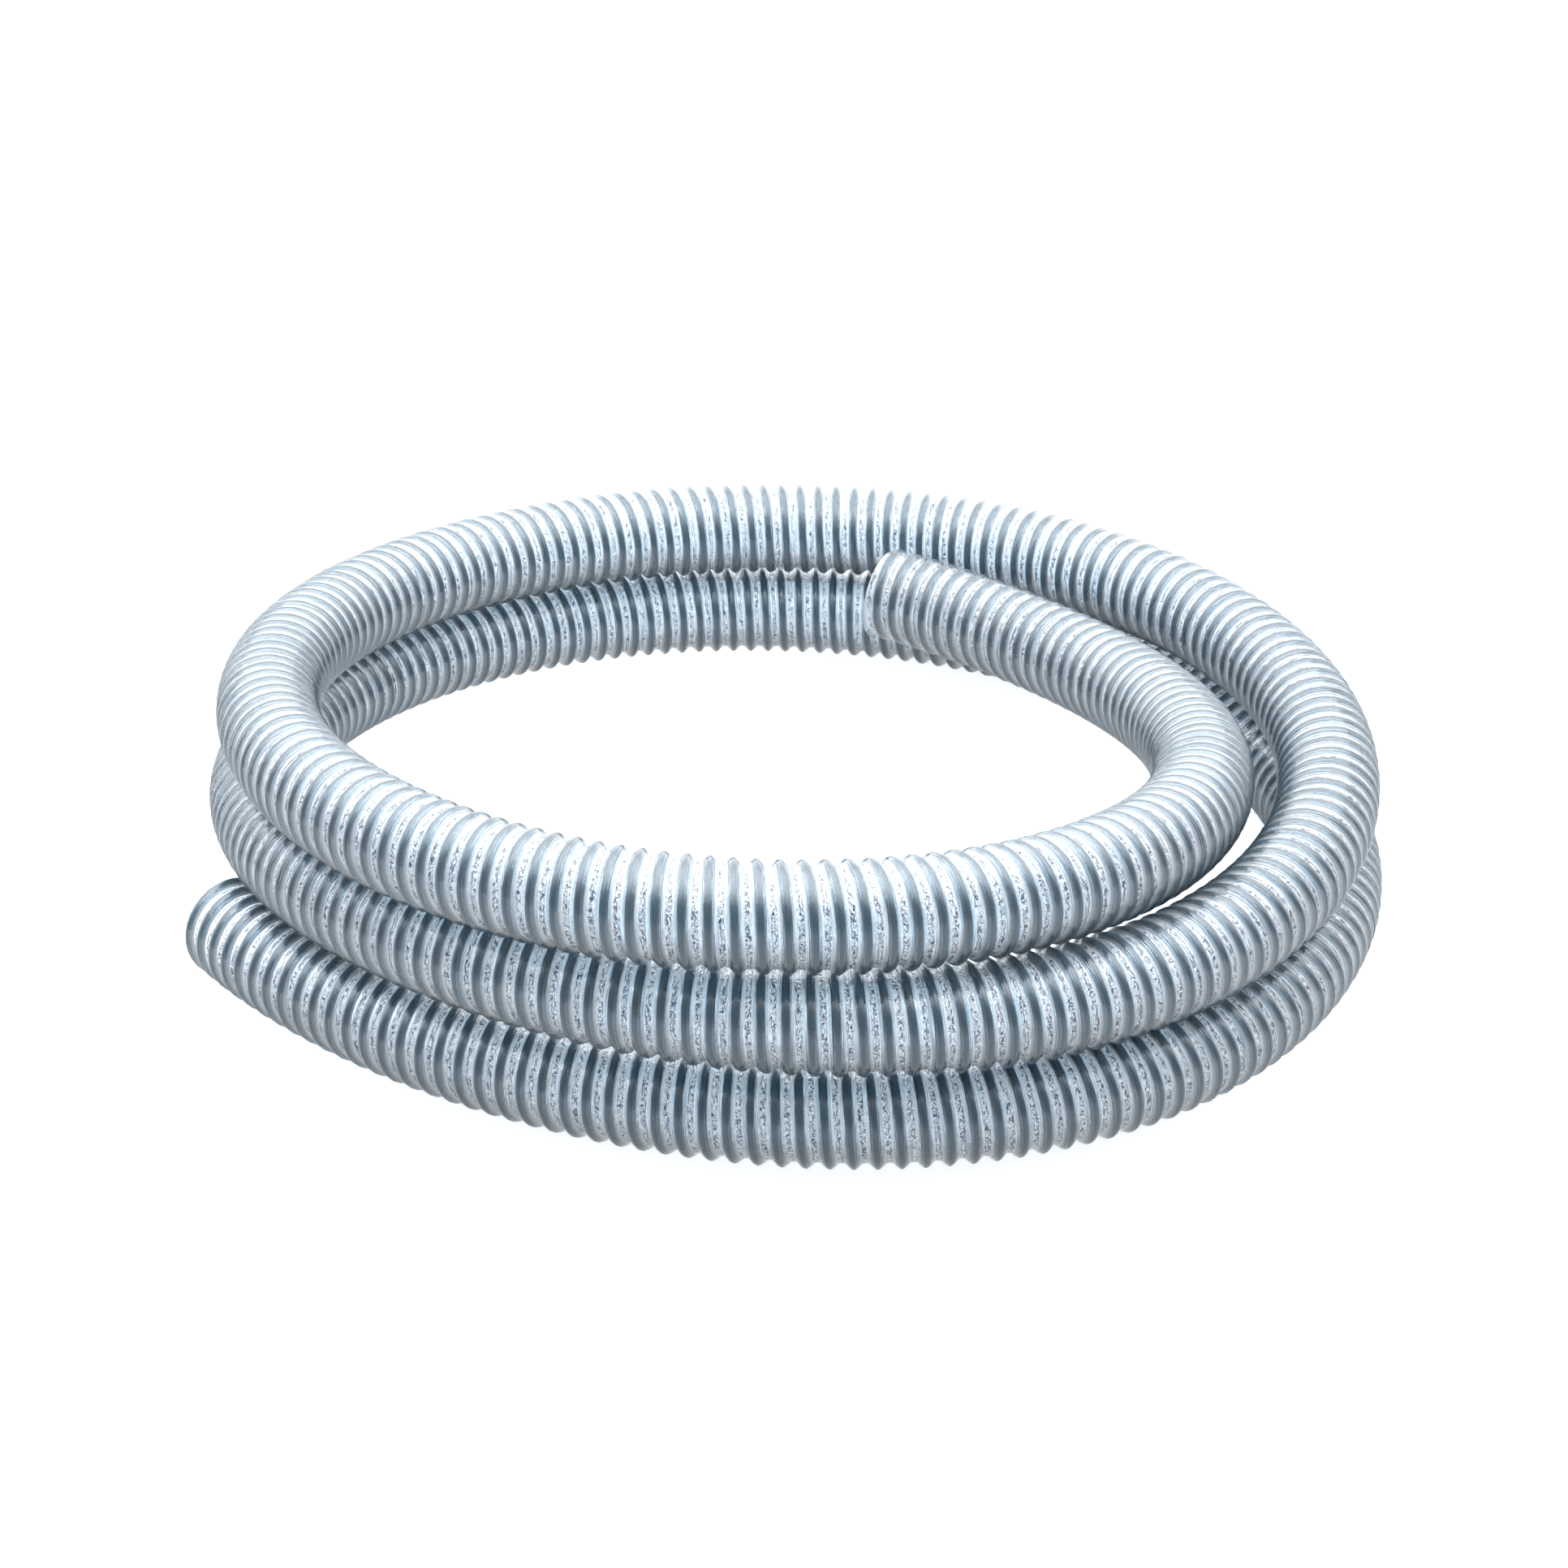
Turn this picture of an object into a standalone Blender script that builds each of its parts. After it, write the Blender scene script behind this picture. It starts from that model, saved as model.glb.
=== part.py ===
"""Pool vacuum hose lying in a free coil: a clear flexible wall welded into a rigid spiral rib.

Metres, +Z up. The hose lies on the plane z = 0 and the origin is under the middle of its box.
Its centreline is given as winding angle, radius and height around the coil's centre: it starts
on the floor at the left, winds counter-clockwise as seen from above, climbs on to its own first
turn, and ends inside the coil at the back.
"""

import math

import bpy
from mathutils import Vector

# Driving dimensions of the hose's section
BORE_RADIUS = 0.0190
WALL_RADIUS = 0.0207
FIT_GAP = 0.0003
RIB_RADIUS = 0.0230
SIDES = 12

# Where the hose starts and stops along its winding, and how often a section is drawn (degrees)
START_ANGLE = 194
END_ANGLE = 1154
SECTION_STEP = 12

# The lay of the hose: radius and height of the centreline in millimetres, every 45 degrees of
# winding from 135 degrees, smoothed as a uniform cubic B-spline. One line is one turn.
LAY_START = 135
LAY_STEP = 45
LAY_MM = (
    (404, 23), (266, 23), (199, 23), (199, 23), (243, 23), (263, 23), (257, 23), (252, 23),
    (250, 34), (234, 58), (208, 80), (211, 75), (241, 68), (256, 74), (257, 73), (250, 70),
    (236, 82), (222, 110), (220, 128), (223, 127), (212, 110), (189, 78), (187, 56), (212, 63),
    (260, 96), (333, 155),
)
MM = 0.001

# From the box's middle to the centre that the hose winds around
COIL_CENTRE = Vector((-0.0107, -0.0160, 0.0))


def clear_scene():
    for obj in list(bpy.data.objects):
        bpy.data.objects.remove(obj, do_unlink=True)


def spline_weights(f):
    """Weights of four neighbouring control values in a uniform cubic B-spline."""
    return (
        (1 - f) ** 3 / 6,
        (3 * f**3 - 6 * f**2 + 4) / 6,
        (-3 * f**3 + 3 * f**2 + 3 * f + 1) / 6,
        f**3 / 6,
    )


def centreline(angle):
    """The point of the hose's centreline at this winding angle, in degrees."""
    place = (angle - LAY_START) / LAY_STEP
    first = min(max(math.floor(place), 1), len(LAY_MM) - 3)
    weights = spline_weights(place - first)
    near = LAY_MM[first - 1 : first + 3]
    radius = MM * sum(w * r for w, (r, _) in zip(weights, near))
    height = MM * sum(w * h for w, (_, h) in zip(weights, near))
    turn = math.radians(angle)
    return COIL_CENTRE + Vector((radius * math.cos(turn), radius * math.sin(turn), height))


def section_frames():
    """Centre, sideways and upward directions of each drawn section."""
    frames = []
    for angle in range(START_ANGLE, END_ANGLE + 1, SECTION_STEP):
        tangent = (centreline(angle + 0.5) - centreline(angle - 0.5)).normalized()
        side = Vector((0, 0, 1)).cross(tangent).normalized()
        frames.append((centreline(angle), side, tangent.cross(side)))
    return frames


def ring(frame, radius):
    centre, side, top = frame
    turns = [2 * math.pi * k / SIDES for k in range(SIDES)]
    return [centre + radius * (math.cos(t) * side + math.sin(t) * top) for t in turns]


def hollow_hose(name, inner_radius, outer_radius, material):
    """A tube of constant wall along the whole centreline, cut square and open at both ends."""
    frames = section_frames()
    loop = 2 * SIDES
    points = []
    for frame in frames:
        points += ring(frame, outer_radius) + ring(frame, inner_radius)

    faces = []
    for k in range(SIDES):
        after = (k + 1) % SIDES
        for station in range(len(frames) - 1):
            here = station * loop
            there = here + loop
            faces.append((here + k, here + after, there + after, there + k))
            bore = (here + after, here + k, there + k, there + after)
            faces.append(tuple(v + SIDES for v in bore))
        last = (len(frames) - 1) * loop
        faces.append((k, k + SIDES, after + SIDES, after))
        faces.append((last + k, last + after, last + after + SIDES, last + k + SIDES))

    mesh = bpy.data.meshes.new(name)
    mesh.from_pydata(points, [], faces)
    mesh.shade_smooth()
    mesh.set_sharp_from_angle(angle=math.radians(40))
    mesh.materials.append(material)
    hose = bpy.data.objects.new(name, mesh)
    bpy.context.scene.collection.objects.link(hose)
    return hose


def plastic(name, color, roughness, transmission):
    material = bpy.data.materials.new(name)
    material.use_nodes = True
    shader = material.node_tree.nodes["Principled BSDF"]
    shader.inputs["Base Color"].default_value = (*color, 1.0)
    shader.inputs["Roughness"].default_value = roughness
    shader.inputs["Metallic"].default_value = 0.0
    shader.inputs["Transmission Weight"].default_value = transmission
    return material


def clear_wall():
    """The flexible tube that carries the water, with a smooth bore."""
    pvc = plastic("clear_pvc", (0.74, 0.83, 0.89), 0.18, 0.5)
    return hollow_hose("clear_wall", BORE_RADIUS, WALL_RADIUS, pvc)


def spiral_rib():
    """The sleeve that the rigid spiral's crests sweep, from the wall out to their tips."""
    pvc = plastic("smoky_rigid_pvc", (0.19, 0.26, 0.30), 0.25, 0.0)
    return hollow_hose("spiral_rib", WALL_RADIUS + FIT_GAP, RIB_RADIUS, pvc)


clear_scene()
clear_wall()
spiral_rib()
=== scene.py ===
"""The looks of a coiled pool vacuum hose: a clear ribbed wall, its slate spiral rib, and a pale studio.

Metres, +Z up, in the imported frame's own coordinates. The hose is drawn on a helical grid: its
columns run along the hose, and each column starts a little further on than the last, so the rib
and the webs between its turns are true right-handed helices.
"""

import math

import bmesh
import bpy
import numpy as np
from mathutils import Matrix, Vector


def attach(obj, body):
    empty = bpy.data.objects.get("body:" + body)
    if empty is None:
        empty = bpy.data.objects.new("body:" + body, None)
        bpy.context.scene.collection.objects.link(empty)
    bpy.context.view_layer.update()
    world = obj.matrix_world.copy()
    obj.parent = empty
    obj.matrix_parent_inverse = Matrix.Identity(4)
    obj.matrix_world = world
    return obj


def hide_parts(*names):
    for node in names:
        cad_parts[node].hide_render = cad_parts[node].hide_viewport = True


# Driving dimensions of the hose
BORE_RADIUS = 0.0190
WEB_RADIUS = 0.0203
RIB_RADIUS = 0.0230
PITCH = 0.0094

# The corrugation, in shares of a pitch from the middle of a rib
HUMP_WIDTH = 0.80
HUMP_POWER = 1.1
WALL_STEPS = (0.12, 0.23, 0.36, 0.50, 0.64, 0.77, 0.88)
RIB_STEPS = (-0.12, -0.06, 0.0, 0.06, 0.12)
RIB_BASE = 0.13
RIB_BASE_RADIUS = 0.0197
RIB_PROUD = 0.00006

# How finely the hose is drawn
COLUMNS = 32
BORE_STATION = 2 * PITCH
MERGE_DISTANCE = 1e-7
SLOPE_STEP = 0.01
SHARP_ANGLE = math.radians(65)

# The lay of the hose: radius and height of the centreline in millimetres, every 45 degrees of
# winding from 135 degrees, smoothed as a uniform cubic B-spline. A full line is one turn.
START_ANGLE = 194
END_ANGLE = 1154
LAY_START = 135
LAY_STEP = 45
LAY_MM = (
    (404, 23), (266, 23), (199, 23), (199, 23), (243, 23), (263, 23), (257, 23), (252, 23),
    (250, 34), (234, 58), (208, 80), (211, 75), (241, 68), (256, 74), (257, 73), (250, 70),
    (236, 82), (222, 110), (220, 128), (223, 127), (212, 110), (189, 78), (187, 56), (212, 63),
    (260, 96), (333, 155),
)
MM = 0.001
COIL_CENTRE = np.array((-0.0107, -0.0160, 0.0))

# The sky: where it is brightest, how bright it is by how far a way leans there, and its colour
SKY_BRIGHTEST_WAY = (0.0, 0.7, 0.7)
SKY_LEVELS = ((0.0, 0.14), (0.20, 0.30), (0.50, 0.80), (0.75, 1.0))
SKY_COLOR = (0.94, 0.97, 1.0)
SKY_STRENGTH = 4.4

# The clear plastic's own colour, and painted light on its crinkled middle between the ribs: white that
# stands in for the bright light seen through the clear web
CLEAR_TINT = (0.77, 0.90, 0.98)
WEB_LIGHT_WHITE = (1.0, 1.0, 1.0)

# The colour of the softboxes
DAYLIGHT = (0.96, 0.98, 1.0)

# How finely the centreline is read
POINTS_A_DEGREE = 10

# Camera
AIM = COIL_CENTRE + (0.0070, 0.0, 0.0602)
CAMERA_ELEVATION = math.radians(29.33)
CAMERA_DISTANCE = 1.5738
CAMERA_LENS_MM = 79.1
SENSOR_MM = 36


# ---- the lay of the hose -------------------------------------------------------------------

def centreline(angles):
    """Points of the hose's centreline at these winding angles, in degrees."""
    place = (np.asarray(angles, float) - LAY_START) / LAY_STEP
    first = np.clip(np.floor(place).astype(int), 1, len(LAY_MM) - 3)
    f = place - first
    weights = (
        (1 - f) ** 3 / 6,
        (3 * f**3 - 6 * f**2 + 4) / 6,
        (-3 * f**3 + 3 * f**2 + 3 * f + 1) / 6,
        f**3 / 6,
    )
    lay = MM * np.array(LAY_MM, float)
    radius, height = sum(w[:, None] * lay[first - 1 + k] for k, w in enumerate(weights)).T
    turn = np.radians(angles)
    return COIL_CENTRE + np.stack((radius * np.cos(turn), radius * np.sin(turn), height), axis=1)


class Lay:
    """The hose's centreline by distance along it, with its sideways and upward directions."""

    def __init__(self):
        angles = np.linspace(START_ANGLE, END_ANGLE, POINTS_A_DEGREE * (END_ANGLE - START_ANGLE) + 1)
        self.points = centreline(angles)
        steps = np.linalg.norm(np.diff(self.points, axis=0), axis=1)
        self.run = np.concatenate(([0.0], np.cumsum(steps)))
        self.length = self.run[-1]
        tangent = centreline(angles + 0.05) - centreline(angles - 0.05)
        side = np.cross((0, 0, 1), tangent)
        top = np.cross(tangent, side)
        self.side = side / np.linalg.norm(side, axis=1)[:, None]
        self.top = top / np.linalg.norm(top, axis=1)[:, None]

    def read(self, values, distance):
        return np.stack([np.interp(distance, self.run, v) for v in values.T], axis=-1)

    def place(self, distance, radius, turns):
        """Points this far along the hose, at this radius and this many turns round it."""
        distance, radius, turns = np.broadcast_arrays(distance, radius, turns)
        angle = 2 * np.pi * turns[..., None]
        outward = np.cos(angle) * self.read(self.side, distance)
        outward += np.sin(angle) * self.read(self.top, distance)
        return self.read(self.points, distance) + radius[..., None] * outward

    def clip(self, pitches, turns):
        """Pitches along the spiral, with what lies past either end of the hose moved to its cut."""
        return np.clip(pitches + turns, 0, self.length / PITCH) - turns


def hump_radius(pitches):
    """The wall's outer radius this many pitches along the hose from the middle of a rib."""
    away = np.abs(pitches - np.round(pitches))
    rise = np.where(away < HUMP_WIDTH / 2, np.cos(np.pi * away / HUMP_WIDTH), 0.0) ** HUMP_POWER
    return WEB_RADIUS + (RIB_RADIUS - WEB_RADIUS) * rise


def skin(lay, pitches, turns, proud=0.0):
    """Points of the corrugated outside, or a little proud of it."""
    return lay.place((pitches + turns) * PITCH, hump_radius(pitches) + proud, turns)


def skin_normals(lay, pitches, turns):
    """Outward directions of the corrugated outside, unit length."""
    along = skin(lay, pitches + SLOPE_STEP, turns) - skin(lay, pitches - SLOPE_STEP, turns)
    around = skin(lay, pitches, turns + SLOPE_STEP) - skin(lay, pitches, turns - SLOPE_STEP)
    outward = np.cross(around, along)
    return outward / np.linalg.norm(outward, axis=-1)[..., None]


# ---- meshes --------------------------------------------------------------------------------

def corner_vectors(mesh, name, vectors):
    """Keeps a vector at each corner of the mesh, which stays with it through mesh edits."""
    flat = vectors.astype(np.float32).ravel()
    mesh.attributes.new(name, "FLOAT_VECTOR", "CORNER").data.foreach_set("vector", flat)


def hose_piece(name, points, normals, quads, spirals, materials):
    """A smooth closed piece, whose first material's faces are shaded by the points' normals.
    Its corners know where they are on the spiral, for the materials: their share of a pitch
    from the rib, and their turns round the hose."""
    mesh = bpy.data.meshes.new(name)
    mesh.from_pydata(points.tolist(), [], quads.tolist())
    corner_vectors(mesh, "spiral", np.concatenate((spirals, np.zeros_like(spirals[..., :1])), axis=-1))
    corner_vectors(mesh, "outward", normals[quads] * (materials == 0)[:, None, None])
    mesh.polygons.foreach_set("material_index", materials)

    mesh_data = bmesh.new()
    mesh_data.from_mesh(mesh)
    bmesh.ops.remove_doubles(mesh_data, verts=mesh_data.verts, dist=MERGE_DISTANCE)
    bmesh.ops.holes_fill(mesh_data, edges=mesh_data.edges, sides=0)
    bmesh.ops.recalc_face_normals(mesh_data, faces=mesh_data.faces)
    mesh_data.to_mesh(mesh)
    mesh_data.free()
    mesh.shade_smooth()
    mesh.set_sharp_from_angle(angle=SHARP_ANGLE)
    outward = np.empty(3 * len(mesh.loops), np.float32)
    mesh.attributes["outward"].data.foreach_get("vector", outward)
    mesh.attributes.remove(mesh.attributes["outward"])
    mesh.normals_split_custom_set(outward.reshape(-1, 3))
    piece = bpy.data.objects.new(name, mesh)
    bpy.context.scene.collection.objects.link(piece)
    return piece


def four_corners(near, far):
    """The corners of the quads between two lines of values."""
    return np.stack((near[:-1], far[:-1], far[1:], near[1:]), axis=1)


def hose_wall(lay):
    """The clear wall: corrugated outside, with a smooth bore, and cut square at both ends."""
    steps = len(WALL_STEPS)
    whole = np.repeat(np.arange(-2, int(lay.length / PITCH) + 2), steps)
    turns = np.arange(COLUMNS)[:, None] / COLUMNS
    pitches = lay.clip(whole + np.resize(WALL_STEPS, len(whole)), turns)
    outside = skin(lay, pitches, turns)
    index = np.arange(pitches.size).reshape(pitches.shape)

    quads, spirals = [], []
    for k in range(COLUMNS):
        near = slice(None, -steps)
        far, after = (near, k + 1) if k + 1 < COLUMNS else (slice(steps, None), 0)
        quads.append(four_corners(index[k, near], index[after, far]))
        share = four_corners(pitches[k, near], pitches[after, far] - (after == 0))
        share -= whole[: share.shape[0], None]
        turn = whole[: share.shape[0], None] + (k + np.array((0, 1, 1, 0))) / COLUMNS
        spirals.append(np.stack((share, turn), axis=-1))

    stations = np.linspace(0, lay.length, int(lay.length / BORE_STATION))[:, None]
    bore = lay.place(stations, BORE_RADIUS, turns.T)
    rings = pitches.size + np.arange(bore[..., 0].size).reshape(bore.shape[:2])
    rings = np.concatenate((rings, rings[:, :1]), axis=1)
    for near, far in zip(rings, rings[1:]):
        quads.append(four_corners(near, far))
    for row, ring in ((0, rings[0]), (-1, rings[-1])):
        rim = np.append(index[:, row], index[0, row])
        quads.append(four_corners(rim, ring))

    bore_faces = COLUMNS * (len(rings) - 1)
    cut_faces = 2 * COLUMNS
    skin_faces = sum(map(len, quads)) - bore_faces - cut_faces
    materials = np.repeat((0, 1, 2), (skin_faces, bore_faces, cut_faces))
    spirals.append(np.zeros((bore_faces + cut_faces, 4, 2)))
    points = np.concatenate((outside.reshape(-1, 3), bore.reshape(-1, 3)))
    normals = np.zeros_like(points)
    normals[: pitches.size] = skin_normals(lay, pitches, turns).reshape(-1, 3)
    quads, spirals = np.concatenate(quads), np.concatenate(spirals)
    return hose_piece("hose_wall", points, normals, quads, spirals, materials)


def rib_strand(lay):
    """The rigid strand wound into the wall: a rounded crest on a flat base inside the wall."""
    crest = slice(0, len(RIB_STEPS))
    share = np.array(RIB_STEPS + (RIB_BASE, -RIB_BASE))
    proud = np.array([-RIB_PROUD] + [RIB_PROUD] * (len(RIB_STEPS) - 2) + [-RIB_PROUD])
    overrun = int(RIB_BASE * COLUMNS)
    sections = int(lay.length / PITCH * COLUMNS) + 2 * overrun
    turns = (np.arange(sections)[:, None] - overrun) / COLUMNS
    pitches = lay.clip(share + 0 * turns, turns)
    points = lay.place((pitches + turns) * PITCH, RIB_BASE_RADIUS, turns)
    points[:, crest] = skin(lay, pitches[:, crest], turns, proud)
    normals = np.zeros_like(points)
    normals[:, crest] = skin_normals(lay, pitches[:, crest], turns)

    index = np.arange(pitches.size).reshape(pitches.shape)
    quads, spirals = [], []
    for k in range(len(share)):
        after = (k + 1) % len(share)
        quads.append(four_corners(index[:, k], index[:, after]))
        across = four_corners(pitches[:, k], pitches[:, after])
        along = four_corners(turns[:, 0], turns[:, 0])
        spirals.append(np.stack((across, along), axis=-1))
    quads, spirals = np.concatenate(quads), np.concatenate(spirals)
    points, normals = points.reshape(-1, 3), normals.reshape(-1, 3)
    return hose_piece("rib_strand", points, normals, quads, spirals, np.zeros(len(quads), int))


# ---- materials -----------------------------------------------------------------------------

class Nodes:
    """A material's node tree, with short ways to add and join nodes."""

    def __init__(self, name):
        self.material = bpy.data.materials.new(name)
        self.material.use_nodes = True
        self.tree = self.material.node_tree
        self.shader = self.tree.nodes["Principled BSDF"]

    def add(self, kind, inputs=(), **settings):
        node = self.tree.nodes.new("ShaderNode" + kind)
        for key, value in settings.items():
            setattr(node, key, value)
        for key, value in dict(inputs).items():
            self.feed(node.inputs[key], value)
        return node

    def feed(self, socket, value):
        if isinstance(value, bpy.types.NodeSocket):
            self.tree.links.new(value, socket)
        else:
            socket.default_value = value

    def shade(self, **inputs):
        for key, value in inputs.items():
            self.feed(self.shader.inputs[key.replace("_", " ")], value)

    def math(self, operation, *values):
        return self.add("Math", dict(enumerate(values)), operation=operation).outputs[0]

    def spiral(self, across=1, along=1):
        """Coordinates on the spiral, scaled to this many cells across a pitch and along a turn."""
        place = self.add("Attribute", attribute_name="spiral").outputs["Vector"]
        return self.add("VectorMath", {0: place, 1: (across, along, 1)}, operation="MULTIPLY").outputs[0]

    def share(self):
        return self.add("SeparateXYZ", {0: self.spiral()}).outputs[0]

    def noise(self, across, along, **inputs):
        inputs = {key.replace("_", " "): value for key, value in inputs.items()}
        return self.add(
            "TexNoise", {"Vector": self.spiral(across, along), "Scale": 1.0, **inputs}
        ).outputs["Fac"]

    def ramp(self, value, stops, interpolation="LINEAR"):
        """A ramp through stops, each a position and a grey or a colour."""
        node = self.add("ValToRGB", {"Fac": value})
        node.color_ramp.interpolation = interpolation
        elements = node.color_ramp.elements
        while len(elements) < len(stops):
            elements.new(0.5)
        for element, (position, color) in zip(elements, stops):
            element.position = position
            element.color = (*color, 1) if isinstance(color, tuple) else (color, color, color, 1)
        return node.outputs["Color"]

    def mix(self, share, first, second, blend="MIX"):
        node = self.add("Mix", data_type="RGBA", blend_type=blend)
        sockets = [s for s in node.inputs if s.enabled]
        for socket, value in zip(sockets, (share, first, second)):
            self.feed(socket, (*value, 1) if isinstance(value, tuple) else value)
        return [s for s in node.outputs if s.enabled][0]


def clear_wall_material():
    nodes = Nodes("clear_pvc")
    share = nodes.share()
    folds = nodes.noise(8, 62, Detail=1.5, Distortion=0.9)
    ridge = nodes.math("ABSOLUTE", nodes.math("SUBTRACT", folds, 0.5))
    patches = nodes.ramp(nodes.noise(4, 20, Detail=1.0), ((0.30, 0.0), (0.38, 1.0)))
    middle = nodes.ramp(share, ((0.34, 0.0), (0.40, 1.0), (0.60, 1.0), (0.66, 0.0)))
    # Painted reflection: dark squiggles in the crinkles stand in for the dark surroundings and strand
    # seen through and in the crinkled web
    dark_refraction_squiggles = nodes.math("MULTIPLY", nodes.ramp(ridge, ((0.034, 1.0), (0.064, 0.0))), patches)
    dark_refraction_squiggles = nodes.math("MULTIPLY", dark_refraction_squiggles, middle)
    lines = nodes.noise(22, 2.5, Detail=1.0)
    # The white across the crinkled middle is painted light: it stands in for the bright light seen
    # through the clear web, and the middle lets less light through so that the white shows
    color = nodes.ramp(share, ((0.22, CLEAR_TINT), (0.34, WEB_LIGHT_WHITE), (0.66, WEB_LIGHT_WHITE), (0.78, CLEAR_TINT)))
    color = nodes.mix(nodes.ramp(lines, ((0.34, 0.8), (0.44, 0.0))), color, (0.42, 0.58, 0.74))
    # Mixes in the painted dark reflections of the crinkles
    color = nodes.mix(dark_refraction_squiggles, color, (0.015, 0.035, 0.075))
    height = nodes.math("MULTIPLY_ADD", folds, middle, nodes.math("MULTIPLY", lines, 0.3))
    bump = nodes.add("Bump", {"Height": height, "Strength": 1.0, "Distance": 0.0012})
    nodes.shade(Base_Color=color, Normal=bump.outputs[0], Roughness=0.06)
    clear = nodes.ramp(share, ((0.18, 0.97), (0.32, 0.76), (0.68, 0.76), (0.82, 0.97)))
    nodes.shade(Transmission_Weight=clear, IOR=1.53)
    return nodes.material


def bore_material():
    nodes = Nodes("clear_pvc_bore")
    nodes.shade(Base_Color=(*CLEAR_TINT, 1), Roughness=0.06, Transmission_Weight=0.98, IOR=1.5)
    return nodes.material


def cut_material():
    nodes = Nodes("clear_pvc_cut")
    nodes.shade(Base_Color=(*CLEAR_TINT, 1), Roughness=0.45, Transmission_Weight=0.6, IOR=1.5)
    return nodes.material


def rib_material():
    nodes = Nodes("smoky_rigid_pvc")
    streak = nodes.noise(30, 2.5, Detail=2.0)
    color = nodes.ramp(streak, ((0.30, (0.045, 0.082, 0.110)), (0.70, (0.082, 0.134, 0.172))))
    bump = nodes.add("Bump", {"Height": streak, "Strength": 0.2, "Distance": 0.0003})
    nodes.shade(Base_Color=color, Normal=bump.outputs[0], Roughness=0.27)
    nodes.shade(Transmission_Weight=0.8, IOR=1.53, Specular_IOR_Level=0.4)
    return nodes.material


# ---- studio --------------------------------------------------------------------------------

def camera():
    data = bpy.data.cameras.new("camera")
    data.lens = CAMERA_LENS_MM
    data.sensor_width = SENSOR_MM
    data.clip_start, data.clip_end = 0.05, 20
    obj = bpy.data.objects.new("camera", data)
    back = Vector((0, -math.cos(CAMERA_ELEVATION), math.sin(CAMERA_ELEVATION)))
    obj.location = Vector(AIM) + CAMERA_DISTANCE * back
    obj.rotation_euler = (-back).to_track_quat("-Z", "Y").to_euler()
    bpy.context.scene.collection.objects.link(obj)
    bpy.context.scene.camera = obj


def softbox(name, location, target, size, power, color):
    data = bpy.data.lights.new(name, "AREA")
    data.shape = "RECTANGLE"
    data.size, data.size_y = size
    data.energy = power
    data.color = color
    obj = bpy.data.objects.new(name, data)
    obj.location = location
    obj.rotation_euler = (Vector(target) - Vector(location)).to_track_quat("-Z", "Y").to_euler()
    bpy.context.scene.collection.objects.link(obj)


def sky():
    """Soft light that is brightest above and behind the hose, and dim below and in front of it."""
    world = bpy.data.worlds.new("studio")
    world.use_nodes = True
    tree = world.node_tree
    way = tree.nodes.new("ShaderNodeTexCoord")
    lean = tree.nodes.new("ShaderNodeVectorMath")
    lean.operation = "DOT_PRODUCT"
    lean.inputs[1].default_value = SKY_BRIGHTEST_WAY
    shade = tree.nodes.new("ShaderNodeValToRGB")
    elements = shade.color_ramp.elements
    elements.new(0.5)
    elements.new(0.5)
    for element, (position, level) in zip(elements, SKY_LEVELS):
        element.position = position
        element.color = (*(level * np.array(SKY_COLOR)), 1)
    background = tree.nodes["Background"]
    background.inputs["Strength"].default_value = SKY_STRENGTH
    tree.links.new(way.outputs["Generated"], lean.inputs[0])
    tree.links.new(lean.outputs["Value"], shade.inputs[0])
    tree.links.new(shade.outputs[0], background.inputs["Color"])
    bpy.context.scene.world = world


def studio():
    """A pale floor that glows a little, as on a light table, under soft white light."""
    bpy.context.scene.view_settings.view_transform = "Standard"
    sky()

    bpy.ops.mesh.primitive_plane_add(size=12)
    floor = bpy.context.object
    floor.name = "floor"
    nodes = Nodes("pale_floor")
    nodes.shade(Base_Color=(0.28, 0.28, 0.28, 1), Roughness=0.6)
    nodes.shade(Emission_Color=(0.94, 0.975, 1.0, 1), Emission_Strength=0.92)
    floor.data.materials.append(nodes.material)

    softbox("overhead", (0, 0.3, 1.4), (0, 0.3, 0), (2.4, 1.8), 52, DAYLIGHT)
    softbox("front", (0, -0.15, 0.70), (0, 0.1, 0), (1.4, 0.8), 9, DAYLIGHT)
    softbox("left", (-1.5, 0.2, 0.6), (0, 0, 0.05), (0.5, 1.4), 12, DAYLIGHT)
    softbox("right", (1.5, 0.2, 0.6), (0, 0, 0.05), (0.5, 1.4), 7, DAYLIGHT)


# ---- assembly ------------------------------------------------------------------------------

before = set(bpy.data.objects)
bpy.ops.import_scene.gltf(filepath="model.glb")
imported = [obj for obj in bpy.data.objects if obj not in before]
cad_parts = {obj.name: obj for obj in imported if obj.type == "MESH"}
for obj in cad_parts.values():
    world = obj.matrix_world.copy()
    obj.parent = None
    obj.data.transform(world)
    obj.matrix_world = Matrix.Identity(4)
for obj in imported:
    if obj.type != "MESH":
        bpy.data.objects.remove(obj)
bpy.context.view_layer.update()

camera()
lay = Lay()
wall = hose_wall(lay)
for material in (clear_wall_material(), bore_material(), cut_material()):
    wall.data.materials.append(material)
rib = rib_strand(lay)
rib.data.materials.append(rib_material())

for piece, node, slot in ((wall, "clear_wall", "clear_pvc"), (rib, "spiral_rib", "smoky_rigid_pvc")):
    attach(piece, "root")
    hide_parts(node)

studio()
